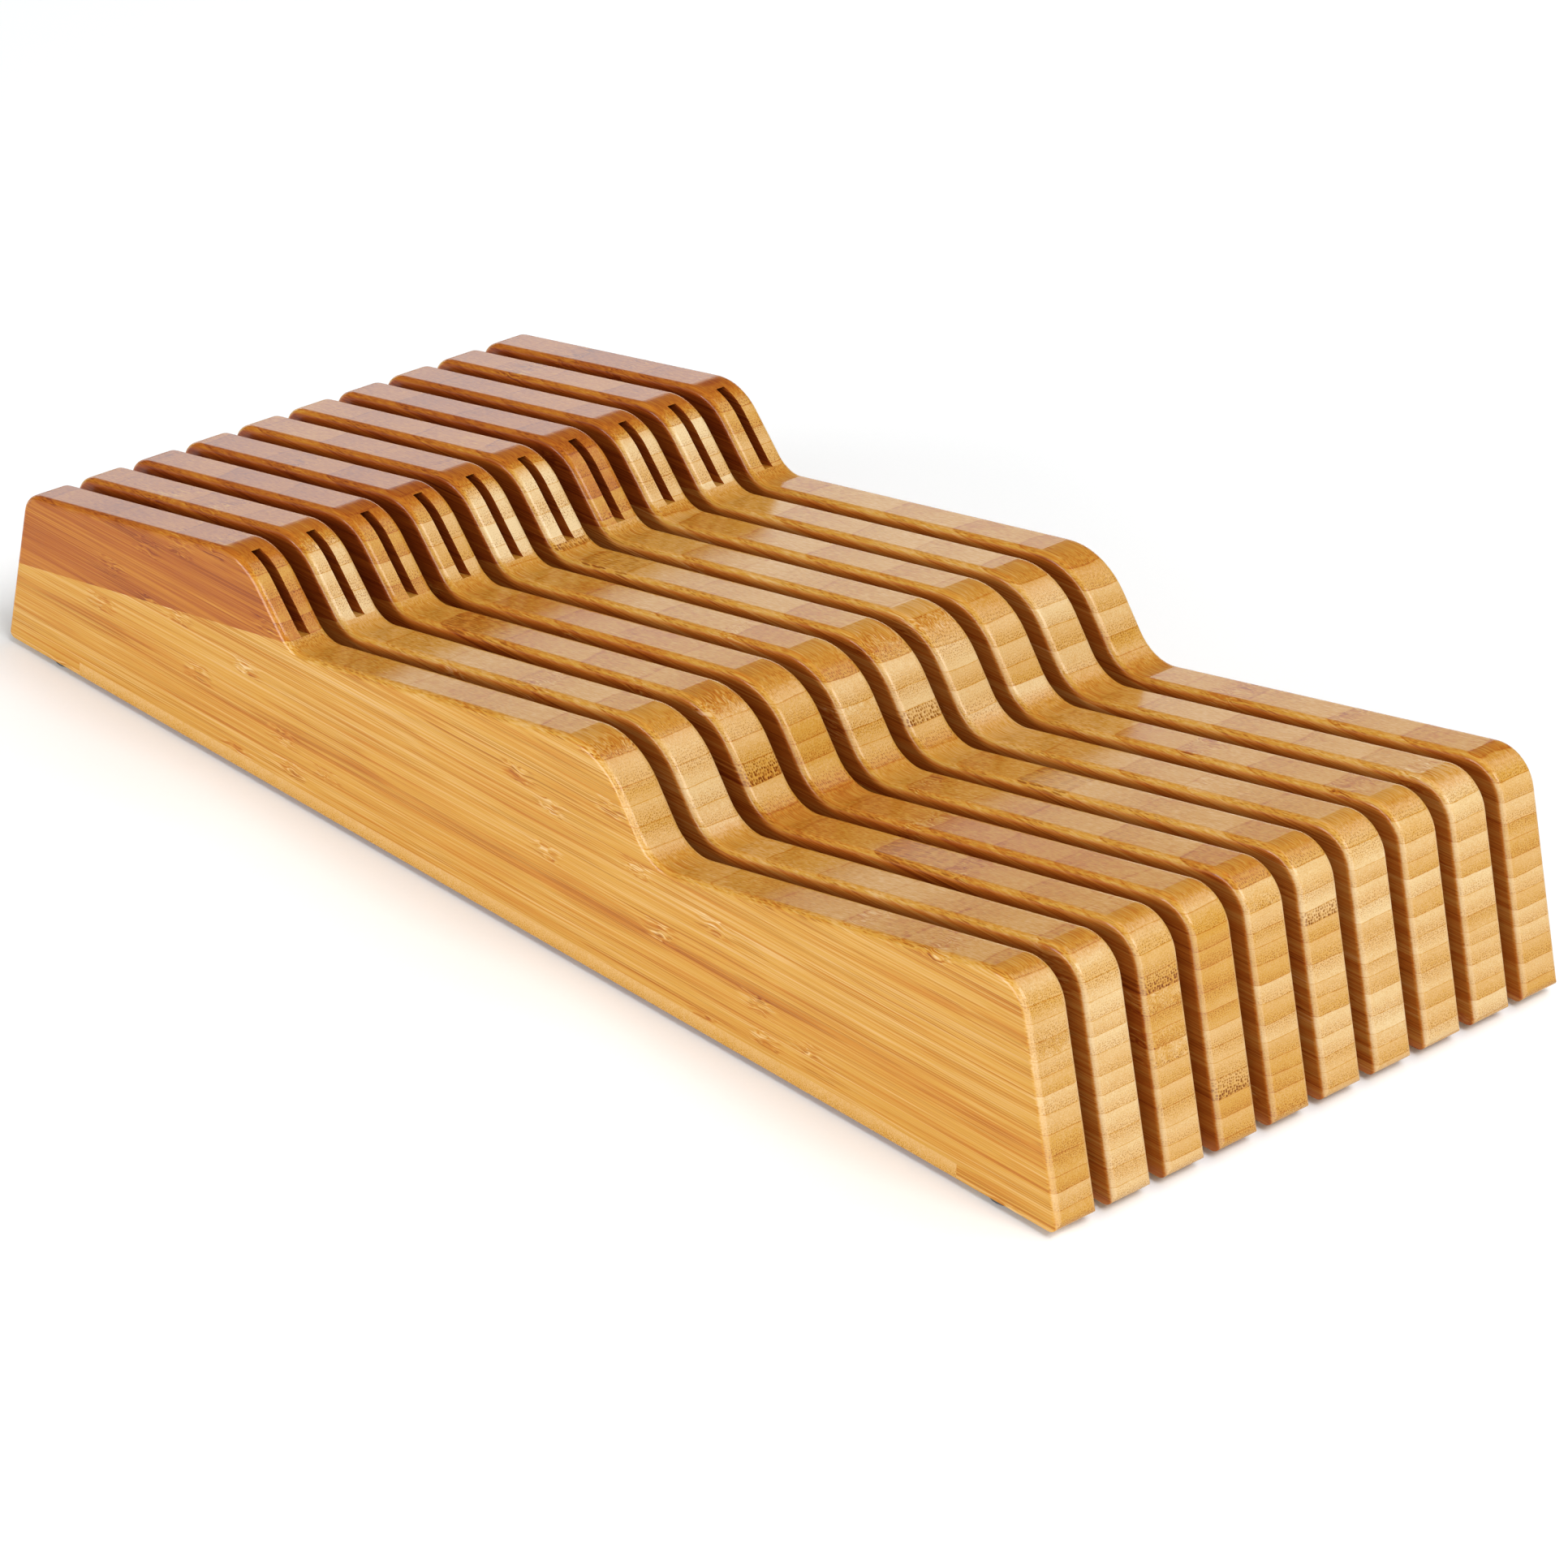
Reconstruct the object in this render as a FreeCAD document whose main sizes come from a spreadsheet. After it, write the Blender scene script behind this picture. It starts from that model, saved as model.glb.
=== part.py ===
import FreeCAD
import Part
import Sketcher

import math
import os

# In-drawer knife block of laminated bamboo.
#
# Ten upright slats stand side by side on a thin cross-grain base panel, which is glued into a
# rebate under all of them. The open gaps between slats take the large blades, edge down. On
# the rear third of each slat a slot block is glued, whose sawn slot takes a small blade. The
# top is one sawtooth wave in profile, with three crests that carry the handles. Four rubber
# feet plug into the two outer slats.
#
# Frame: X across the slats, Y along them with the handle end at -Y, Z up. The origin is on
# the surface the feet stand on, below the middle of the block. Millimetres.
#
# Each slat is drawn in its own frame, with its front bottom corner on its left face at
# (0, 0, 0), so the y and z of the profile below are measured from that corner.

DIMS = {
    # slats and gaps
    "slat_count": 10,
    "slat_thickness": 13.5,
    "slat_pitch": 18.5,
    "slat_length": 424,
    # sharp corners of the profile, before they are rounded
    "front_crest_y": 16,
    "front_crest_z": 63.5,
    "front_valley_y": 146,
    "front_valley_z": 38.5,
    "mid_crest_y": 166,
    "mid_crest_z": 65,
    "rear_valley_y": 291.5,
    "rear_valley_z": 43.5,
    "rear_crest_y": 312,
    "rear_crest_z": 65.5,
    "rear_top_y": 412,
    "rear_top_z": 47.8,
    # radii of those corners
    "front_crest_radius": 11.5,
    "front_valley_radius": 14,
    "mid_crest_radius": 22,
    "rear_valley_radius": 11,
    "rear_crest_radius": 18,
    "rear_top_radius": 8,
    "bottom_corner_radius": 3,
    # easing of the long edges
    "edge_radius": 2,
    # glue line between slat and slot block, a straight line over the whole profile
    "glue_front_z": 95.8,
    "glue_rear_y": 430,
    "glue_rear_z": 22.7,
    "above_block_z": 100,
    # sawn slot in the slot block, from in front of its face to a blind end
    "slot_width": 3,
    "slot_mouth_y": 285,
    "slot_mouth_z": 69.5,
    "slot_end_y": 398,
    "slot_end_z": 46.9,
    "slot_low_z": 20,
    # base panel and its rebate
    "panel_front_y": 35,
    "panel_rear_y": 389,
    "panel_thickness": 4,
    # feet, measured from the sole
    "foot_setback": 23,
    "foot_height": 2,
    "foot_radius": 5.5,
    "foot_edge_radius": 0.7,
    "stem_radius": 2.5,
    "stem_top": 8,
    "stem_hole_depth": 6.5,
}

# Corners of the profile that are rounded before the long edges are eased.
TOP_CORNERS = (
    "front_crest",
    "front_valley",
    "mid_crest",
    "rear_valley",
    "rear_crest",
    "rear_top",
)

TOLERANCE = 1e-4

# Positions of a line's or an arc's points in a sketch constraint.
START = 1
END = 2
CENTRE = 3
HORIZONTAL_AXIS = -1
VERTICAL_AXIS = -2
ORIGIN = (-1, START)


def make_sheet(doc):
    sheet = doc.addObject("Spreadsheet::Sheet", "Dims")
    for row, (alias, number) in enumerate(DIMS.items(), start=1):
        sheet.set("A%d" % row, alias)
        sheet.set("B%d" % row, str(number))
        sheet.setAlias("B%d" % row, alias)
    doc.recompute()


def new_body(doc, label):
    body = doc.addObject("PartDesign::Body", label)
    body.Label = label
    return body


def new_sketch(body, name, role):
    """An empty sketch on one of the body's own origin planes."""
    sketch = body.newObject("Sketcher::SketchObject", name)
    plane = next(item for item in body.Origin.OriginFeatures if item.Role == role)
    sketch.AttachmentSupport = [(plane, "")]
    sketch.MapMode = "FlatFace"
    return sketch


def bind(sketch, constraint, name, expression):
    """Add a constraint whose value follows an expression."""
    index = sketch.addConstraint(constraint)
    sketch.renameConstraint(index, name)
    sketch.setExpression("Constraints." + name, expression)


def pin(sketch, geometry, point, across, up, name):
    """Hold a point at two cells' distances from the origin, where None means on the axis."""
    directions = (("DistanceX", across, VERTICAL_AXIS), ("DistanceY", up, HORIZONTAL_AXIS))
    for kind, cell, axis in directions:
        if cell is None:
            sketch.addConstraint(Sketcher.Constraint("PointOnObject", geometry, point, axis))
        else:
            constraint = Sketcher.Constraint(kind, *ORIGIN, geometry, point, float(DIMS[cell]))
            bind(sketch, constraint, name + kind, "Dims." + cell)


def polygon_sketch(body, name, role, corners):
    """A closed polygon whose corners are pairs of cells."""
    sketch = new_sketch(body, name, role)
    points = [FreeCAD.Vector(DIMS.get(across, 0), DIMS.get(up, 0), 0) for across, up in corners]
    count = len(points)
    for i in range(count):
        sketch.addGeometry(Part.LineSegment(points[i], points[(i + 1) % count]), False)
    for i in range(count):
        sketch.addConstraint(Sketcher.Constraint("Coincident", i, END, (i + 1) % count, START))
    for i, (across, up) in enumerate(corners):
        pin(sketch, i, START, across, up, "corner%d" % i)
    return sketch


def new_pocket(body, sketch, name, depth_cell=None):
    """Cut along the sketch's normal, through all or to a depth, and check that it cuts."""
    volume_before = body.Shape.Volume
    pocket = body.newObject("PartDesign::Pocket", name)
    pocket.Profile = sketch
    pocket.Reversed = True
    if depth_cell is None:
        pocket.Type = "ThroughAll"
    else:
        pocket.Type = "Length"
        pocket.setExpression("Length", "Dims." + depth_cell)
    body.Document.recompute()
    if body.Shape.Volume > volume_before - TOLERANCE:
        raise RuntimeError("%s cuts nothing from %s" % (name, body.Label))


def new_fillet(body, name, radius_cell, is_wanted):
    """Round the edges of the body's tip that pass a test."""
    tip = body.Tip
    edges = ["Edge%d" % i for i, edge in enumerate(tip.Shape.Edges, start=1) if is_wanted(edge)]
    if not edges:
        raise RuntimeError("%s finds no edge on %s" % (name, body.Label))
    fillet = body.newObject("PartDesign::Fillet", name)
    fillet.Base = (tip, edges)
    fillet.setExpression("Radius", "Dims." + radius_cell)
    body.Document.recompute()


def ends_at(edge, y, z):
    """True for an edge that runs across the slat at one point of the profile."""
    return all(abs(end.Y - y) < TOLERANCE and abs(end.Z - z) < TOLERANCE for end in edge.Vertexes)


def is_rim(edge):
    """True for an edge of either side face, apart from the bottom ones."""
    box = edge.BoundBox
    return box.XLength < TOLERANCE < box.ZMax


def bottom_corner_sketch(body, name, corner_cell, lean, is_front):
    """The sliver outside a rounded bottom corner: two lines that meet there and an arc."""
    sketch = new_sketch(body, name, "YZ_Plane")
    corner = FreeCAD.Vector(DIMS.get(corner_cell, 0), 0, 0)
    inward = 1 if is_front else -1
    radius = DIMS["bottom_corner_radius"]
    reach = radius / math.tan(lean / 2)
    on_bottom = corner + FreeCAD.Vector(inward * reach, 0, 0)
    on_end = corner + FreeCAD.Vector(inward * reach * math.cos(lean), reach * math.sin(lean), 0)
    circle = Part.Circle(on_bottom + FreeCAD.Vector(0, radius, 0), FreeCAD.Vector(0, 0, 1), radius)
    straight_down = 1.5 * math.pi
    sweep = math.pi - lean
    arc_start = straight_down - sweep if is_front else straight_down
    bottom, end, arc = sketch.addGeometry([
        Part.LineSegment(corner, on_bottom),
        Part.LineSegment(corner, on_end),
        Part.ArcOfCircle(circle, arc_start, arc_start + sweep),
    ], False)
    pin(sketch, bottom, START, corner_cell, None, "corner")
    sketch.addConstraint(Sketcher.Constraint("Coincident", bottom, START, end, START))
    sketch.addConstraint(Sketcher.Constraint("Horizontal", bottom))
    arc_at_bottom, arc_at_end = (END, START) if is_front else (START, END)
    sketch.addConstraint(Sketcher.Constraint("Tangent", bottom, END, arc, arc_at_bottom))
    sketch.addConstraint(Sketcher.Constraint("Tangent", end, END, arc, arc_at_end))
    bind(sketch, Sketcher.Constraint("Radius", arc, radius), "radius", "Dims.bottom_corner_radius")
    if is_front:
        angle = lean
        expression = "atan(Dims.front_crest_z / Dims.front_crest_y)"
    else:
        angle = math.pi - lean
        expression = "180 deg - atan(Dims.rear_top_z / (Dims.slat_length - Dims.rear_top_y))"
    bind(sketch, Sketcher.Constraint("Angle", end, angle), "lean", expression)
    return sketch


def wave_board(body):
    """A board of one slat's thickness with the whole sawtooth profile and eased long edges."""
    outline = polygon_sketch(body, "Outline", "YZ_Plane", (
        (None, None),
        ("front_crest_y", "front_crest_z"),
        ("front_valley_y", "front_valley_z"),
        ("mid_crest_y", "mid_crest_z"),
        ("rear_valley_y", "rear_valley_z"),
        ("rear_crest_y", "rear_crest_z"),
        ("rear_top_y", "rear_top_z"),
        ("slat_length", None),
    ))
    board = body.newObject("PartDesign::Pad", "Board")
    board.Profile = outline
    board.setExpression("Length", "Dims.slat_thickness")
    body.Document.recompute()
    for corner in TOP_CORNERS:
        y = DIMS[corner + "_y"]
        z = DIMS[corner + "_z"]
        new_fillet(body, corner, corner + "_radius", lambda edge: ends_at(edge, y, z))
    new_fillet(body, "EasedEdges", "edge_radius", is_rim)


def shape_bottom(body):
    """Round both bottom corners of a slat and cut the rebate for the base panel."""
    front_lean = math.atan2(DIMS["front_crest_z"], DIMS["front_crest_y"])
    rear_lean = math.atan2(DIMS["rear_top_z"], DIMS["slat_length"] - DIMS["rear_top_y"])
    front = bottom_corner_sketch(body, "FrontCornerSketch", None, front_lean, is_front=True)
    new_pocket(body, front, "FrontCorner")
    rear = bottom_corner_sketch(body, "RearCornerSketch", "slat_length", rear_lean, is_front=False)
    new_pocket(body, rear, "RearCorner")
    rebate = polygon_sketch(body, "RebateSketch", "YZ_Plane", (
        ("panel_front_y", None),
        ("panel_front_y", "panel_thickness"),
        ("panel_rear_y", "panel_thickness"),
        ("panel_rear_y", None),
    ))
    new_pocket(body, rebate, "Rebate")


def drill_stem_holes(body):
    """Blind holes in the underside for the stems of the two feet."""
    sketch = new_sketch(body, "StemHoles", "XY_Plane")
    middle = DIMS["slat_thickness"] / 2
    places = {
        "front": (DIMS["foot_setback"], "Dims.foot_setback"),
        "rear": (DIMS["slat_length"] - DIMS["foot_setback"], "Dims.slat_length - Dims.foot_setback"),
    }
    for name, (y, y_expression) in places.items():
        circle = Part.Circle(FreeCAD.Vector(middle, y, 0), FreeCAD.Vector(0, 0, 1), DIMS["stem_radius"])
        hole = sketch.addGeometry(circle, False)
        across = Sketcher.Constraint("DistanceX", *ORIGIN, hole, CENTRE, middle)
        bind(sketch, across, name + "Across", "Dims.slat_thickness / 2")
        along = Sketcher.Constraint("DistanceY", *ORIGIN, hole, CENTRE, y)
        bind(sketch, along, name + "Along", y_expression)
        radius = Sketcher.Constraint("Radius", hole, DIMS["stem_radius"])
        bind(sketch, radius, name + "Radius", "Dims.stem_radius")
    new_pocket(body, sketch, "StemHolePocket", "stem_hole_depth")


def make_slat(doc, number):
    """A full-length slat: the wave board below the glue line."""
    body = new_body(doc, "slat_%02d" % number)
    wave_board(body)
    shape_bottom(body)
    above_glue = polygon_sketch(body, "AboveGlue", "YZ_Plane", (
        (None, "glue_front_z"),
        ("glue_rear_y", "glue_rear_z"),
        ("glue_rear_y", "above_block_z"),
        (None, "above_block_z"),
    ))
    new_pocket(body, above_glue, "GlueFace")
    if number in (1, DIMS["slat_count"]):
        drill_stem_holes(body)
    return body


def make_slot_block(doc, number):
    """The block above the glue line, with its sawn slot."""
    body = new_body(doc, "slot_block_%02d" % number)
    wave_board(body)
    below_glue = polygon_sketch(body, "BelowGlue", "YZ_Plane", (
        (None, None),
        (None, "glue_front_z"),
        ("glue_rear_y", "glue_rear_z"),
        ("glue_rear_y", None),
    ))
    new_pocket(body, below_glue, "GlueFace")
    slot = polygon_sketch(body, "SlotSketch", "YZ_Plane", (
        ("slot_mouth_y", "slot_low_z"),
        ("slot_mouth_y", "slot_mouth_z"),
        ("slot_end_y", "slot_end_z"),
        ("slot_end_y", "slot_low_z"),
    ))
    slot.setExpression("AttachmentOffset.Base.z", "(Dims.slat_thickness - Dims.slot_width) / 2")
    new_pocket(body, slot, "Slot", "slot_width")
    return body


def make_base_panel(doc):
    panel = doc.addObject("Part::Box", "base_panel")
    panel.Label = "base_panel"
    panel.setExpression("Length", "(Dims.slat_count - 1) * Dims.slat_pitch + Dims.slat_thickness")
    panel.setExpression("Width", "Dims.panel_rear_y - Dims.panel_front_y")
    panel.setExpression("Height", "Dims.panel_thickness")
    return panel


def make_foot(doc, label):
    """A rubber foot: a low round pad with a stem that is pressed into its slat."""
    body = new_body(doc, label)
    profile = polygon_sketch(body, "Profile", "XZ_Plane", (
        (None, None),
        ("foot_radius", None),
        ("foot_radius", "foot_height"),
        ("stem_radius", "foot_height"),
        ("stem_radius", "stem_top"),
        (None, "stem_top"),
    ))
    turned = body.newObject("PartDesign::Revolution", "Turned")
    turned.Profile = profile
    turned.ReferenceAxis = (profile, ["V_Axis"])
    turned.Angle = 360
    body.Document.recompute()
    new_fillet(body, "SoftEdge", "foot_edge_radius", lambda edge: edge.BoundBox.ZMax < TOLERANCE)
    return body


def place(piece, across, along, height):
    """Put a piece in the block's frame by three expressions."""
    piece.setExpression("Placement.Base.x", across)
    piece.setExpression("Placement.Base.y", along)
    piece.setExpression("Placement.Base.z", height)


def slat_left(number):
    """Expression for the left face of a slat, with the block's middle at zero."""
    gaps_from_middle = "(%d - (Dims.slat_count - 1) / 2)" % (number - 1)
    return "%s * Dims.slat_pitch - Dims.slat_thickness / 2" % gaps_from_middle


def make_pieces(doc):
    front = "-Dims.slat_length / 2"
    pieces = []
    for number in range(1, DIMS["slat_count"] + 1):
        for make in (make_slat, make_slot_block):
            piece = make(doc, number)
            place(piece, slat_left(number), front, "Dims.foot_height")
            pieces.append(piece)
    panel = make_base_panel(doc)
    place(panel, slat_left(1), front + " + Dims.panel_front_y", "Dims.foot_height")
    pieces.append(panel)
    for side, number in (("left", 1), ("right", DIMS["slat_count"])):
        for end, along in (("front", front), ("rear", "Dims.slat_length / 2")):
            foot = make_foot(doc, "foot_%s_%s" % (end, side))
            inward = " + " if end == "front" else " - "
            across = slat_left(number) + " + Dims.slat_thickness / 2"
            place(foot, across, along + inward + "Dims.foot_setback", "0")
            pieces.append(foot)
    doc.recompute()
    return pieces


def check(doc, pieces):
    for item in doc.Objects:
        if "Invalid" in item.State or "Error" in item.State:
            raise RuntimeError("%s is %s" % (item.Label, item.State))
    for piece in pieces:
        if piece.Shape.isNull() or not piece.Shape.isValid() or len(piece.Shape.Solids) != 1:
            raise RuntimeError("%s has no single valid solid" % piece.Label)


def main():
    os.makedirs("parts", exist_ok=True)
    doc = FreeCAD.newDocument("KnifeBlock")
    make_sheet(doc)
    pieces = make_pieces(doc)
    check(doc, pieces)
    for piece in pieces:
        piece.Shape.exportStep("parts/%s.step" % piece.Label)


main()
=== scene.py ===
"""Looks of a low bamboo knife block that lies in a drawer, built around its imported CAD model.

The frame is the CAD model's own: metres, X across the slats, Y along them from the handle end
to the rear, Z up, origin on the floor below the middle of the block. All 25 pieces are CAD
nodes whose shapes are right, so this script gives them their materials and sets up the studio.

The bamboo is a solid texture. Bamboo is glued up from strips, and each strip is made of
parallel fibres with dark vascular bundles among them, larger towards the strip's skin side. So
the pattern is worked out at each point of the wood: dots appear where a face cuts the fibres
across, dashes where it cuts them at a low angle, and streaks where it runs along them.
"""

import math

import bmesh
import bpy
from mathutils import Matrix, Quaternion, Vector

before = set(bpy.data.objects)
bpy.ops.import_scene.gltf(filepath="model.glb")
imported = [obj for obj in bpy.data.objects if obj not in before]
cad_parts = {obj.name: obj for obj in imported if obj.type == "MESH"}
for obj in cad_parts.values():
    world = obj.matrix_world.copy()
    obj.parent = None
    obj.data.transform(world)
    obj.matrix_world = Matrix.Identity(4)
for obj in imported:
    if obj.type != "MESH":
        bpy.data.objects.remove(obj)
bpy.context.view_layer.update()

MM_PER_METRE = 1000.0

# Camera
CAMERA_TARGET = Vector((-0.0207, -0.0394, 0.030))
CAMERA_DISTANCE = 1.443
CAMERA_AZIMUTH = -42.86
CAMERA_ELEVATION = 27.67
CAMERA_ROLL = 1.02
CAMERA_LENS_MM = 127.23
CAMERA_SENSOR_MM = 36.0
CAMERA_CLIP = (0.05, 50.0)

# Studio. A softbox is its name, azimuth, elevation, distance, width, height, watts and colour,
# in degrees and metres.
WHITE = (1.0, 1.0, 1.0)
COOL_WHITE = (0.83, 0.97, 1.0)
SOFTBOXES = (
    ("left", -104.0, 13.0, 4.5, 3.6, 1.8, 168.0, WHITE),
    ("camera_side", -43.0, 25.0, 4.5, 3.0, 2.0, 45.0, WHITE),
    ("front", -6.0, 9.0, 4.5, 0.5, 1.4, 22.0, WHITE),
    ("front_high", -5.0, 50.0, 4.5, 2.6, 2.0, 148.0, WHITE),
    ("top", 60.0, 60.0, 2.0, 1.6, 1.6, 15.0, WHITE),
    ("back", 135.0, 8.0, 1.7, 2.8, 0.40, 9.0, COOL_WHITE),
)
WALL_STRENGTH = 0.28
WALL_HEIGHTS = (0.0, 0.6)
OVERHEAD_SHADE = 0.55
FLOOR_RADIUS = 12.0
FLOOR_SHADE = 0.92
FLOOR_TOOTH_PER_METRE = 900.0
FLOOR_TOOTH_DEPTH = 0.02
FLOOR_ROUGHNESS = 0.85

# Bamboo. Lengths are in millimetres, and the size of a pattern is given across a strip, along
# its fibres and through it. A tone is a place on the palette, from dark to pale.
PALETTE = (
    (0.00, (0.190, 0.038, 0.005)),
    (0.20, (0.300, 0.078, 0.008)),
    (0.42, (0.405, 0.145, 0.014)),
    (0.60, (0.480, 0.248, 0.038)),
    (0.76, (0.545, 0.326, 0.114)),
    (1.00, (0.630, 0.470, 0.250)),
)

# Each slat: the tones of its full-length board and of its slot block, along the grain and on
# faces that cut across it, and the height in millimetres of a strip that is thick with
# vascular bundles, where it has one.
SLATS = {
    1: {"board": (0.625, 0.74), "block": (0.34, 0.59), "dotted": None},
    2: {"board": (0.64, 0.83), "block": (0.37, 0.88), "dotted": None},
    3: {"board": (0.58, 0.74), "block": (0.31, 0.61), "dotted": 49.0},
    4: {"board": (0.57, 0.72), "block": (0.33, 0.78), "dotted": 19.0},
    5: {"board": (0.61, 0.75), "block": (0.37, 0.95), "dotted": None},
    6: {"board": (0.64, 0.82), "block": (0.38, 0.97), "dotted": 48.0},
    7: {"board": (0.66, 0.86), "block": (0.30, 0.53), "dotted": None},
    8: {"board": (0.63, 0.81), "block": (0.34, 0.88), "dotted": None},
    9: {"board": (0.64, 0.82), "block": (0.37, 0.93), "dotted": None},
    10: {"board": (0.62, 0.76), "block": (0.32, 0.70), "dotted": None},
}
BLOCK_SEED_STEP = 20

# A height at which no piece has a strip.
NO_DOTTED_STRIP = -1000.0

PANEL_TONES = (0.52, 0.78)
PANEL_SEED = 41
PANEL_STRIP_WIDTH = 21.0

# Strips. Most have their skin side down, and a share of them is reversed. The fade towards the
# skin, the glue joint's half width and the dotted strip's reach are in strip thicknesses.
STRIP_THICKNESS = 4.6
STRIP_RANDOMNESS = 0.6
REVERSED_SHARE = 0.22
SKIN_FADE = (0.1, 1.0)
GLUE_HALF_WIDTH = 0.035
DOTTED_REACH = 0.55

# How far each step of a piece's seed moves its pattern, so that no two pieces look alike.
SEED_STEP = (13.7, 291.3, 37.3)

# How far fibres stray from straight, and the size of the bends.
DRIFT_SIZE = (16.0, 85.0, 16.0)
DRIFT_REACH = (1.6, 0.0, 1.1)
WANDER_SIZE = (4.0, 40.0, 4.0)
WANDER_REACH = (0.6, 0.0, 0.6)
SWIRL_SIZE = (2.2, 9.0, 2.2)
SWIRL_REACH = 3.0

# Nodes of the cane. A strip's random pick times the spread sets where along it they are.
NODE_PITCH = 190.0
NODE_HALF_LENGTH = 9.0
NODE_SPREAD = 9.0

# Vascular bundles. They are larger and darker towards the skin side and in a dotted strip, and
# darker at a node. Radii are in bundle pitches.
BUNDLE_PITCH = 0.48
BUNDLE_PITCH_RANGE = 0.14
BUNDLE_PITCH_DOTTED = 0.20
BUNDLE_SPREAD = 40.0
BUNDLE_RANDOMNESS = 0.6
BUNDLE_RADIUS = 0.15
BUNDLE_RADIUS_SKIN = 0.12
BUNDLE_RADIUS_DOTTED = 0.15
BUNDLE_EDGE = (-0.07, 0.10)
BUNDLE_DEPTH = 0.10
BUNDLE_DEPTH_SKIN = 0.12
BUNDLE_DEPTH_DOTTED = 0.18
BUNDLE_DEPTH_NODE = 0.08
BUNDLE_UNEVEN = (0.9, 0.45)
BUNDLE_SIDE_LOSS = -0.4
BUNDLE_TOP_SHARE = 0.4
BUNDLE_TOP_FADE = (0.85, 0.99)

# Streaks along the fibres, weaker on faces that cut across them, and slow clouds of tone.
FINE_SIZE = (0.42, 60.0, 0.42)
BROAD_SIZE = (1.6, 110.0, 1.6)
CLOUD_SIZE = (9.0, 60.0, 9.0)
FINE_DEPTH = 0.57
FINE_DEPTH_NODE = 0.7
BROAD_DEPTH = 0.14
CLOUD_DEPTH = 0.07
STREAK_END_LOSS = -0.5

# What else moves the tone, and by how much. Values that end in END are added on faces that cut
# across the fibres.
END_GRAIN_FADE = (0.16, 0.72)
STRIP_RANGE = 0.085
STRIP_RANGE_END = 0.125
SKIN_TONE = -0.08
BUNDLE_TONE = -0.4
GLUE_TONE = -0.11
GLUE_TONE_END = -0.14
GLUE_UNEVEN = 0.3
NODE_TONE = -0.03
NODE_UNEVEN = 0.4
# Painted shade: a darker tone on the faces inside the gaps, where the slats shade each other.
PAINTED_GAP_SHADE_TONE = -0.12

# What the colour is multiplied by in a vascular bundle, on the faces inside the gaps as painted
# shade, and on faces that point up, and the paler colour painted as a highlight on the rounded
# upright edges. The fades say for which directions of the face each one holds. A face inside a
# gap lies nearer the middle than INNER_HALF_WIDTH.
BUNDLE_TINT = (0.42, 0.27, 0.18)
BUNDLE_TINT_SHARE = 2.5
# Painted shade: a darker, redder colour on the faces inside the gaps.
PAINTED_GAP_SHADE_TINT = (1.0, 0.77, 0.90)
# Faces that point up are multiplied by this and come out redder.
UPWARD_FACE_TINT = (1.0, 0.91, 0.85)
UPWARD_FACE_FADE = (0.75, 0.95)
# Painted highlight: a paler colour on the rounded upright edges, for the white floor's
# reflection in them.
PAINTED_EDGE_HIGHLIGHT = (0.72, 0.56, 0.38)
PAINTED_EDGE_HIGHLIGHT_SHARE = 0.18
ROUNDED_FADE_IN = (0.2, 0.5)
ROUNDED_FADE_OUT = (0.8, 0.96)
UPRIGHT_FADE = (0.3, 0.6)
INNER_HALF_WIDTH = 89.0
SIDE_FADE = (0.75, 0.98)

# Surface of the bamboo and its lacquer.
WOOD_ROUGHNESS = 0.40
ROUGHNESS_FINE = 0.25
ROUGHNESS_BUNDLE = 0.10
RELIEF_FINE = 0.5
RELIEF_BUNDLE = -0.8
RELIEF_STRENGTH = 0.25
RELIEF_METRES = 0.00012
COAT_WEIGHT = 0.5
COAT_ROUGHNESS = 0.17

# Rubber of the feet. Sizes are in millimetres.
RUBBER_GRAIN_SIZE = 0.25
RUBBER_DUST_SIZE = 2.5
RUBBER_GRAIN_SHARE = 0.3
RUBBER_DUST_FADE = (-0.25, 0.35)
RUBBER_SHADES = (0.018, 0.060)
RUBBER_BLUE = 1.06
RUBBER_ROUGHNESS = 0.62
RUBBER_ROUGHNESS_RANGE = 0.3
RUBBER_RELIEF_STRENGTH = 0.3
RUBBER_RELIEF_METRES = 0.00005

# Places of a Mix node's sockets for colours, whose names its other sockets have too.
MIX_SHARE, MIX_COLOUR, MIX_TINT = 0, 6, 7
MIX_RESULT = 2


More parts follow.
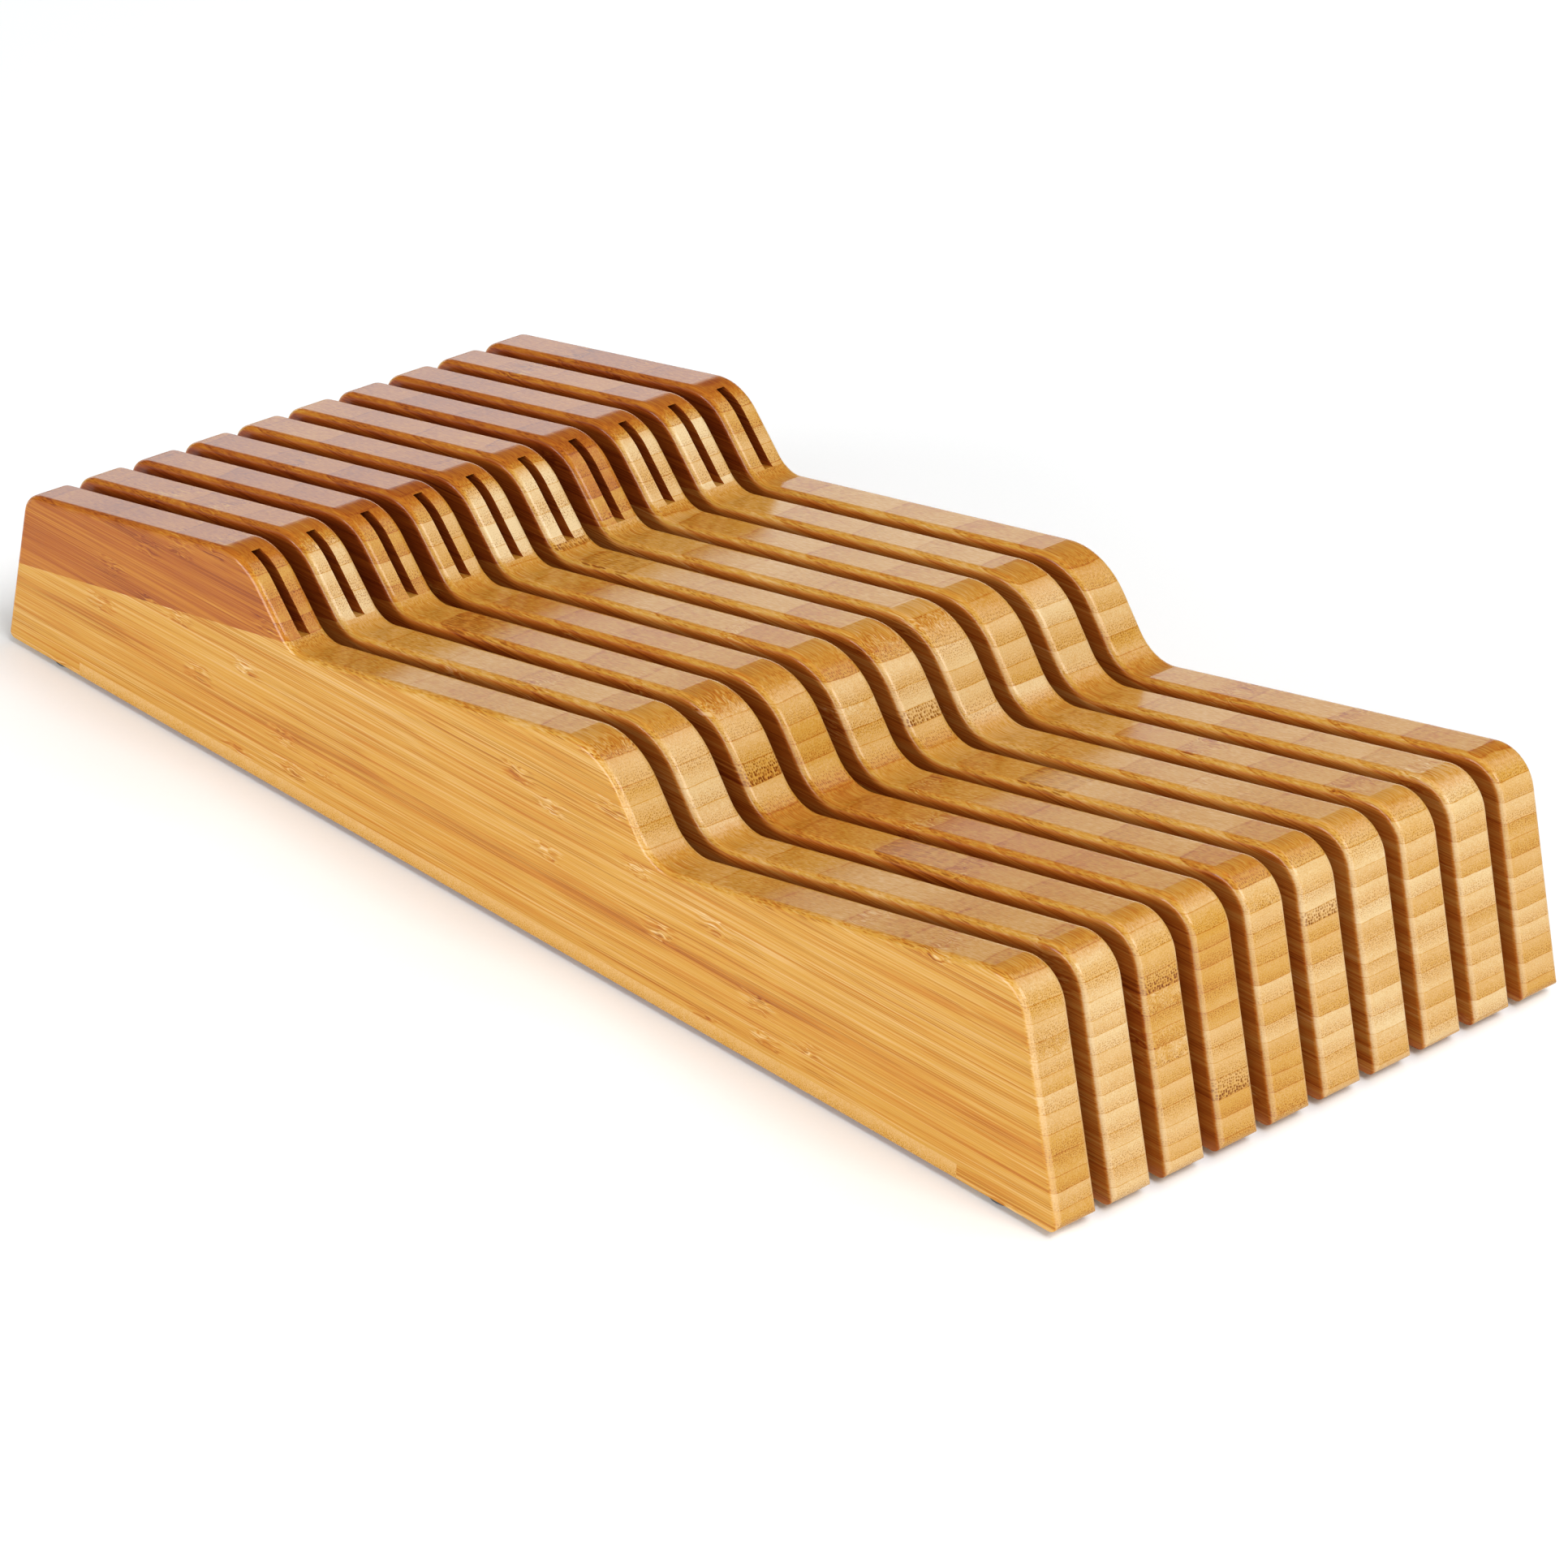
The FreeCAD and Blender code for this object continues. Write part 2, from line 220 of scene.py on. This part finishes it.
class Tree:
    """A node tree, with a short call for each kind of node that the materials use."""

    def __init__(self, tree):
        self.tree = tree

    def node(self, kind, **settings):
        made = self.tree.nodes.new(kind)
        for name, value in settings.items():
            setattr(made, name, value)
        return made

    def feed(self, socket, source):
        """Give an input a link or a plain value."""
        if isinstance(source, bpy.types.NodeSocket):
            self.tree.links.new(source, socket)
        else:
            socket.default_value = source

    def math(self, operation, *values):
        made = self.node("ShaderNodeMath", operation=operation)
        for socket, value in zip(made.inputs, values):
            self.feed(socket, value)
        return made.outputs[0]

    def add(self, *values):
        total = values[0]
        for value in values[1:]:
            total = self.math("ADD", total, value)
        return total

    def times(self, *values):
        product = values[0]
        for value in values[1:]:
            product = self.math("MULTIPLY", product, value)
        return product

    def vector(self, operation, *values):
        made = self.node("ShaderNodeVectorMath", operation=operation)
        for socket, value in zip(made.inputs, values):
            self.feed(socket, value)
        return made.outputs[0]

    def scaled(self, vector, factor):
        made = self.node("ShaderNodeVectorMath", operation="SCALE")
        self.feed(made.inputs[0], vector)
        self.feed(made.inputs["Scale"], factor)
        return made.outputs[0]

    def combine(self, x, y, z):
        made = self.node("ShaderNodeCombineXYZ")
        for socket, value in zip(made.inputs, (x, y, z)):
            self.feed(socket, value)
        return made.outputs[0]

    def split(self, vector):
        made = self.node("ShaderNodeSeparateXYZ")
        self.feed(made.inputs[0], vector)
        return tuple(made.outputs)

    def fade(self, value, low, high, at_low=0.0, at_high=1.0):
        """A smooth change from at_low to at_high as value goes from low to high."""
        made = self.node("ShaderNodeMapRange", interpolation_type="SMOOTHSTEP", clamp=True)
        for socket, number in zip(made.inputs, (value, low, high, at_low, at_high)):
            self.feed(socket, number)
        return made.outputs[0]

    def noise(self, vector, detail=2.0, roughness=0.5):
        """Noise of one unit's scale, centred on zero, as (value, three values as a vector)."""
        made = self.node("ShaderNodeTexNoise", noise_dimensions="3D")
        self.feed(made.inputs["Vector"], vector)
        made.inputs["Scale"].default_value = 1.0
        made.inputs["Detail"].default_value = detail
        made.inputs["Roughness"].default_value = roughness
        value = self.math("SUBTRACT", made.outputs[0], 0.5)
        return value, self.vector("SUBTRACT", made.outputs[1], (0.5, 0.5, 0.5))

    def cells(self, dimensions, socket_name, source, randomness, feature="F1"):
        made = self.node("ShaderNodeTexVoronoi", voronoi_dimensions=dimensions, feature=feature)
        self.feed(made.inputs[socket_name], source)
        made.inputs["Scale"].default_value = 1.0
        made.inputs["Randomness"].default_value = randomness
        return made

    def blend(self, how, colour, tint, share):
        """The colour with a share of a tint mixed in or multiplied in."""
        made = self.node("ShaderNodeMix", data_type="RGBA", blend_type=how)
        self.feed(made.inputs[MIX_SHARE], share)
        self.feed(made.inputs[MIX_COLOUR], colour)
        self.feed(made.inputs[MIX_TINT], (*tint, 1.0))
        return made.outputs[MIX_RESULT]

    def stretched(self, vector, x, y, z):
        """The point divided by a length for each axis: the size of the pattern there."""
        return self.vector("MULTIPLY", vector, (1.0 / x, 1.0 / y, 1.0 / z))


def new_bamboo_group():
    """An empty node group with the wood's inputs and outputs."""
    group = bpy.data.node_groups.new("Bamboo", "ShaderNodeTree")
    for name, kind in (
        ("Point", "NodeSocketVector"),
        ("Cut", "NodeSocketVector"),
        ("Seed", "NodeSocketFloat"),
        ("Tone", "NodeSocketFloat"),
        ("End tone", "NodeSocketFloat"),
        ("Dotted strip", "NodeSocketFloat"),
        ("Inside", "NodeSocketFloat"),
    ):
        group.interface.new_socket(name, in_out="INPUT", socket_type=kind)
    for name, kind in (
        ("Color", "NodeSocketColor"),
        ("Roughness", "NodeSocketFloat"),
        ("Relief", "NodeSocketFloat"),
    ):
        group.interface.new_socket(name, in_out="OUTPUT", socket_type=kind)
    return group


def drifted(t, point, seed):
    """The point in the strips' own pattern, where fibres wander a little along the strip."""
    shift = t.combine(*(t.times(seed, step) for step in SEED_STEP))
    point = t.vector("ADD", point, shift)
    drift = t.noise(t.stretched(point, *DRIFT_SIZE), detail=1.0)[1]
    return t.vector("ADD", point, t.vector("MULTIPLY", drift, DRIFT_REACH))


def strip_at(t, z):
    """The strip at a height: its three random picks, its middle, how near its skin side the
    height is, and how deep in a glue joint."""
    level = t.times(z, 1.0 / STRIP_THICKNESS)
    strip = t.cells("1D", "W", level, STRIP_RANDOMNESS)
    picks = t.split(strip.outputs["Color"])
    middle = strip.outputs["W"]
    flip = t.math("SIGN", t.math("SUBTRACT", picks[0], REVERSED_SHARE))
    through = t.math("MULTIPLY_ADD", t.math("SUBTRACT", middle, level), flip, 0.5)
    skin = t.fade(through, *SKIN_FADE)
    edge = t.cells("1D", "W", level, STRIP_RANDOMNESS, feature="DISTANCE_TO_EDGE")
    joint = t.fade(edge.outputs["Distance"], 0.0, GLUE_HALF_WIDTH, 1.0, 0.0)
    return picks, middle, skin, joint


def dotted_at(t, middle, height, seed):
    """1 where a strip's middle is near the given height, to be thick with bundles, or else 0."""
    height = t.math("ADD", height, t.times(seed, SEED_STEP[2]))
    wanted = t.times(height, 1.0 / STRIP_THICKNESS)
    from_wanted = t.math("ABSOLUTE", t.math("SUBTRACT", middle, wanted))
    return t.math("LESS_THAN", from_wanted, DOTTED_REACH)


def node_at(t, y, pick):
    """How deep a place is in a node of the cane: a short stretch where the fibres swirl."""
    along = t.math("FRACT", t.add(t.times(y, 1.0 / NODE_PITCH), t.times(pick, NODE_SPREAD)))
    from_node = t.times(t.math("ABSOLUTE", t.math("SUBTRACT", along, 0.5)), NODE_PITCH)
    return t.fade(from_node, 0.0, NODE_HALF_LENGTH, 1.0, 0.0)


def swirled(t, point, knot):
    """The point moved by the swirl of a node and by small bends, and the swirl's own noise."""
    swirl, swirl_vector = t.noise(t.stretched(point, *SWIRL_SIZE), detail=1.0)
    wander = t.noise(t.stretched(point, *WANDER_SIZE), detail=2.0)[1]
    point = t.vector("ADD", point, t.scaled(swirl_vector, t.times(knot, SWIRL_REACH)))
    point = t.vector("ADD", point, t.vector("MULTIPLY", wander, WANDER_REACH))
    return point, swirl


def bundle_cells(t, point, picks, dotted):
    """Vascular bundles, a different lot in each strip: the distance to the nearest one's
    middle, and its random pick."""
    pitch = t.math("MULTIPLY_ADD", picks[1], BUNDLE_PITCH_RANGE, BUNDLE_PITCH)
    pitch = t.add(pitch, t.times(dotted, BUNDLE_PITCH_DOTTED))
    x, _, z = t.split(point)
    across = t.combine(
        t.add(t.math("DIVIDE", x, pitch), t.times(picks[1], BUNDLE_SPREAD)),
        t.add(t.math("DIVIDE", z, pitch), t.times(picks[2], BUNDLE_SPREAD)),
        0.0,
    )
    bundle = t.cells("2D", "Vector", across, BUNDLE_RANDOMNESS)
    return bundle.outputs["Distance"], t.split(bundle.outputs["Color"])[0]


def bundle_dots(t, distance, pick, skin, dotted, knot, cut):
    """Where a bundle is, and how dark it looks on a face cut this way."""
    cut_across, _, cut_up = cut
    radius = t.add(
        BUNDLE_RADIUS,
        t.times(skin, BUNDLE_RADIUS_SKIN),
        t.times(dotted, BUNDLE_RADIUS_DOTTED),
    )
    dot = t.fade(t.math("SUBTRACT", distance, radius), *BUNDLE_EDGE, 1.0, 0.0)
    depth = t.add(
        BUNDLE_DEPTH,
        t.times(skin, BUNDLE_DEPTH_SKIN),
        t.times(dotted, BUNDLE_DEPTH_DOTTED),
        t.times(knot, BUNDLE_DEPTH_NODE),
    )
    sideways = t.math("ABSOLUTE", cut_across)
    side_share = t.math("MULTIPLY_ADD", sideways, BUNDLE_SIDE_LOSS, 1.0)
    top_share = t.fade(cut_up, *BUNDLE_TOP_FADE, 1.0, BUNDLE_TOP_SHARE)
    uneven = t.math("MULTIPLY_ADD", pick, *BUNDLE_UNEVEN)
    return dot, t.times(dot, depth, uneven, side_share, top_share)


def fibre_streaks(t, point, knot, end_grain):
    """How the fibres' streaks move the tone, and the fine and the broad noise in them."""
    fine = t.noise(t.stretched(point, *FINE_SIZE), detail=1.0, roughness=0.6)[0]
    broad = t.noise(t.stretched(point, *BROAD_SIZE), detail=1.0, roughness=0.5)[0]
    lines = t.times(fine, t.math("MULTIPLY_ADD", knot, FINE_DEPTH_NODE, FINE_DEPTH))
    streaks = t.times(
        t.add(lines, t.times(broad, BROAD_DEPTH)),
        t.math("MULTIPLY_ADD", end_grain, STREAK_END_LOSS, 1.0),
    )
    return streaks, fine, broad


def palette_colour(t, tone):
    """The palette's colour at a tone."""
    ramp = t.node("ShaderNodeValToRGB")
    stops = ramp.color_ramp.elements
    for place, colour in PALETTE[1:-1]:
        stops.new(place)
    for stop, (place, colour) in zip(stops, PALETTE):
        stop.position = place
        stop.color = (*colour, 1.0)
    t.feed(ramp.inputs[0], tone)
    return ramp.outputs[0]


def tinted(t, colour, dots, inside, cut):
    """The palette's colour with the tint for bundles, painted shade in the gaps, the tint of
    faces that point up and a painted highlight on the rounded upright edges.
    """
    cut_across, _, cut_up = cut
    sideways = t.math("ABSOLUTE", cut_across)
    rounded = t.times(
        t.fade(sideways, *ROUNDED_FADE_IN),
        t.fade(sideways, *ROUNDED_FADE_OUT, 1.0, 0.0),
    )
    upright = t.fade(t.math("ABSOLUTE", cut_up), *UPRIGHT_FADE, 1.0, 0.0)
    colour = t.blend("MULTIPLY", colour, BUNDLE_TINT, t.times(dots, BUNDLE_TINT_SHARE))
    # Painted shade on the faces inside the gaps.
    colour = t.blend("MULTIPLY", colour, PAINTED_GAP_SHADE_TINT, inside)
    # Faces that point up come out redder.
    colour = t.blend("MULTIPLY", colour, UPWARD_FACE_TINT, t.fade(cut_up, *UPWARD_FACE_FADE))
    # Painted highlight on the rounded upright edges.
    return t.blend("MIX", colour, PAINTED_EDGE_HIGHLIGHT, t.times(rounded, upright, PAINTED_EDGE_HIGHLIGHT_SHARE))


def bamboo_group():
    """The wood itself. Point is in millimetres, with the fibres along Y and the strips stacked
    along Z, and Cut is the face's normal. Out come the wood's colour, its roughness and the
    height of its fine relief."""
    group = new_bamboo_group()
    t = Tree(group)
    given = t.node("NodeGroupInput").outputs
    seed = given["Seed"]
    cut = t.split(given["Cut"])
    end_grain = t.fade(t.math("ABSOLUTE", cut[1]), *END_GRAIN_FADE)
    paler = t.times(t.math("SUBTRACT", given["End tone"], given["Tone"]), end_grain)

    point = drifted(t, given["Point"], seed)
    _, y, z = t.split(point)
    picks, middle, skin, joint = strip_at(t, z)
    dotted = dotted_at(t, middle, given["Dotted strip"], seed)
    knot = node_at(t, y, picks[1])
    point, swirl = swirled(t, point, knot)
    distance, bundle_pick = bundle_cells(t, point, picks, dotted)
    dot, dots = bundle_dots(t, distance, bundle_pick, skin, dotted, knot, cut)

    streaks, fine, broad = fibre_streaks(t, point, knot, end_grain)
    cloud = t.noise(t.stretched(point, *CLOUD_SIZE), detail=1.0)[0]
    strip_range = t.math("MULTIPLY_ADD", end_grain, STRIP_RANGE_END, STRIP_RANGE)
    glue = t.add(
        t.math("MULTIPLY_ADD", end_grain, GLUE_TONE_END, GLUE_TONE),
        t.times(broad, GLUE_UNEVEN),
    )
    tone = t.add(
        given["Tone"],
        t.times(t.math("SUBTRACT", picks[2], 0.5), strip_range),
        t.times(skin, SKIN_TONE),
        t.times(cloud, CLOUD_DEPTH),
        streaks,
        t.times(dots, BUNDLE_TONE),
        t.times(joint, glue),
        t.times(knot, t.math("MULTIPLY_ADD", swirl, NODE_UNEVEN, NODE_TONE)),
        paler,
        # Painted shade on the faces inside the gaps.
        t.times(given["Inside"], PAINTED_GAP_SHADE_TONE),
    )
    colour = tinted(t, palette_colour(t, tone), dots, given["Inside"], cut)
    roughness = t.add(
        WOOD_ROUGHNESS,
        t.times(fine, ROUGHNESS_FINE),
        t.times(dot, ROUGHNESS_BUNDLE),
    )

    out = t.node("NodeGroupOutput").inputs
    t.feed(out["Color"], colour)
    t.feed(out["Roughness"], roughness)
    t.feed(out["Relief"], t.add(t.times(fine, RELIEF_FINE), t.times(dot, RELIEF_BUNDLE)))
    return group


def new_material(name):
    material = bpy.data.materials.new(name)
    material.use_nodes = True
    tree = Tree(material.node_tree)
    shader = material.node_tree.nodes["Principled BSDF"]
    return material, tree, shader


def point_in_mm(t):
    point = t.node("ShaderNodeTexCoord").outputs["Object"]
    return t.vector("MULTIPLY", point, (MM_PER_METRE,) * 3)


def add_relief(t, shader, height, strength, metres):
    bump = t.node("ShaderNodeBump")
    bump.inputs["Strength"].default_value = strength
    bump.inputs["Distance"].default_value = metres
    t.feed(bump.inputs["Height"], height)
    t.feed(shader.inputs["Normal"], bump.outputs[0])


def faces_a_gap(t, point, cut):
    """1 on the upright faces inside the gaps and the slots, where shade is painted, and 0 on the
    outer sides.
    """
    x_from_middle = t.math("ABSOLUTE", t.split(point)[0])
    is_inner = t.math("LESS_THAN", x_from_middle, INNER_HALF_WIDTH)
    is_side = t.fade(t.math("ABSOLUTE", t.split(cut)[0]), *SIDE_FADE)
    return t.times(is_inner, is_side)


def laid_across(t, point, cut):
    """Point and cut for wood whose fibres run across the block, in broad strips side by side
    whose nodes don't line up."""
    x, y, z = t.split(point)
    pick = t.node("ShaderNodeTexWhiteNoise", noise_dimensions="1D")
    t.feed(pick.inputs["W"], t.math("FLOOR", t.times(y, 1.0 / PANEL_STRIP_WIDTH)))
    point = t.combine(y, t.add(x, t.times(pick.outputs["Value"], NODE_PITCH)), z)
    x, y, z = t.split(cut)
    return point, t.combine(y, x, z)


def bamboo_material(name, group, seed, tones, dotted=None, cross_grain=False):
    """Lacquered bamboo. With cross_grain, its fibres run across the block."""
    material, t, shader = new_material(name)
    point = point_in_mm(t)
    cut = t.node("ShaderNodeNewGeometry").outputs["Normal"]
    # The faces inside the gaps, where shade is painted.
    inside = faces_a_gap(t, point, cut)
    if cross_grain:
        point, cut = laid_across(t, point, cut)
    wood = t.node("ShaderNodeGroup", node_tree=group)
    t.feed(wood.inputs["Inside"], inside)
    t.feed(wood.inputs["Point"], point)
    t.feed(wood.inputs["Cut"], cut)
    t.feed(wood.inputs["Seed"], float(seed))
    t.feed(wood.inputs["Tone"], tones[0])
    t.feed(wood.inputs["End tone"], tones[1])
    t.feed(wood.inputs["Dotted strip"], NO_DOTTED_STRIP if dotted is None else dotted)
    t.feed(shader.inputs["Base Color"], wood.outputs["Color"])
    t.feed(shader.inputs["Roughness"], wood.outputs["Roughness"])
    add_relief(t, shader, wood.outputs["Relief"], RELIEF_STRENGTH, RELIEF_METRES)
    shader.inputs["Specular IOR Level"].default_value = 0.0
    shader.inputs["Coat Weight"].default_value = COAT_WEIGHT
    shader.inputs["Coat Roughness"].default_value = COAT_ROUGHNESS
    return material


def rubber_material():
    """Dark moulded rubber with a fine grain and a little dust."""
    material, t, shader = new_material("foot_rubber")
    point = point_in_mm(t)
    grain = t.noise(t.stretched(point, *(RUBBER_GRAIN_SIZE,) * 3), detail=3.0)[0]
    dust = t.noise(t.stretched(point, *(RUBBER_DUST_SIZE,) * 3), detail=4.0)[0]
    marks = t.add(dust, t.times(grain, RUBBER_GRAIN_SHARE))
    shade = t.fade(marks, *RUBBER_DUST_FADE, *RUBBER_SHADES)
    colour = t.combine(shade, shade, t.times(shade, RUBBER_BLUE))
    roughness = t.math("MULTIPLY_ADD", dust, RUBBER_ROUGHNESS_RANGE, RUBBER_ROUGHNESS)
    t.feed(shader.inputs["Base Color"], colour)
    t.feed(shader.inputs["Roughness"], roughness)
    add_relief(t, shader, grain, RUBBER_RELIEF_STRENGTH, RUBBER_RELIEF_METRES)
    return material


def finish_pieces():
    """Give every CAD node its material."""
    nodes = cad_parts
    group = bamboo_group()
    for number, look in SLATS.items():
        board = nodes["slat_%02d" % number]
        board.material_slots[0].material = bamboo_material(
            "bamboo_slat_%02d" % number, group, number, look["board"], look["dotted"])
        block = nodes["slot_block_%02d" % number]
        block.material_slots[0].material = bamboo_material(
            "bamboo_block_%02d" % number, group, number + BLOCK_SEED_STEP, look["block"])
    panel = bamboo_material("bamboo_panel", group, PANEL_SEED, PANEL_TONES, cross_grain=True)
    nodes["base_panel"].material_slots[0].material = panel
    rubber = rubber_material()
    for name, node in nodes.items():
        if name.startswith("foot_"):
            node.material_slots[0].material = rubber


def towards(azimuth, elevation):
    """The direction out from the block at these angles. Azimuth 0 is at the handle end."""
    azimuth = math.radians(azimuth)
    elevation = math.radians(elevation)
    return Vector((
        math.sin(azimuth) * math.cos(elevation),
        -math.cos(azimuth) * math.cos(elevation),
        math.sin(elevation),
    ))


def add_camera():
    back = towards(CAMERA_AZIMUTH, CAMERA_ELEVATION)
    camera = bpy.data.objects.new("Camera", bpy.data.cameras.new("Camera"))
    bpy.context.scene.collection.objects.link(camera)
    camera.data.lens = CAMERA_LENS_MM
    camera.data.sensor_width = CAMERA_SENSOR_MM
    camera.data.clip_start = CAMERA_CLIP[0]
    camera.data.clip_end = CAMERA_CLIP[1]
    camera.rotation_mode = "QUATERNION"
    roll = Quaternion((0.0, 0.0, 1.0), math.radians(CAMERA_ROLL))
    camera.rotation_quaternion = (-back).to_track_quat("-Z", "Y") @ roll
    camera.location = CAMERA_TARGET + back * CAMERA_DISTANCE
    bpy.context.scene.camera = camera


def add_softbox(name, azimuth, elevation, distance, width, height, watts, colour):
    """A rectangular soft light that faces the block and that the camera doesn't see."""
    light = bpy.data.lights.new(name, "AREA")
    light.shape = "RECTANGLE"
    light.size = width
    light.size_y = height
    light.energy = watts
    light.color = colour
    softbox = bpy.data.objects.new(name, light)
    bpy.context.scene.collection.objects.link(softbox)
    back = towards(azimuth, elevation)
    softbox.location = back * distance
    softbox.rotation_mode = "QUATERNION"
    softbox.rotation_quaternion = (-back).to_track_quat("-Z", "Y")
    softbox.visible_camera = False


def add_floor():
    """White paper, with a fine tooth in its shade."""
    mesh = bpy.data.meshes.new("floor")
    shape = bmesh.new()
    bmesh.ops.create_circle(shape, cap_ends=True, segments=128, radius=FLOOR_RADIUS)
    shape.to_mesh(mesh)
    shape.free()
    floor = bpy.data.objects.new("floor", mesh)
    bpy.context.scene.collection.objects.link(floor)
    material, t, shader = new_material("floor_paper")
    point = t.node("ShaderNodeTexCoord").outputs["Object"]
    point = t.vector("MULTIPLY", point, (FLOOR_TOOTH_PER_METRE,) * 3)
    tooth = t.noise(point, detail=2.0)[0]
    shade = t.math("MULTIPLY_ADD", tooth, FLOOR_TOOTH_DEPTH, FLOOR_SHADE)
    t.feed(shader.inputs["Base Color"], t.combine(shade, shade, shade))
    shader.inputs["Roughness"].default_value = FLOOR_ROUGHNESS
    mesh.materials.append(material)


def add_world():
    """White studio walls, brighter low down than overhead."""
    world = bpy.data.worlds.new("Studio")
    bpy.context.scene.world = world
    world.use_nodes = True
    t = Tree(world.node_tree)
    direction = t.node("ShaderNodeTexCoord").outputs["Generated"]
    height = t.split(direction)[2]
    shade = t.fade(height, *WALL_HEIGHTS, 1.0, OVERHEAD_SHADE)
    background = world.node_tree.nodes["Background"]
    t.feed(background.inputs["Color"], t.combine(shade, shade, shade))
    background.inputs["Strength"].default_value = WALL_STRENGTH


def light_studio():
    add_world()
    for softbox in SOFTBOXES:
        add_softbox(*softbox)
    bpy.context.scene.view_settings.view_transform = "Standard"


add_camera()
finish_pieces()
add_floor()
light_studio()
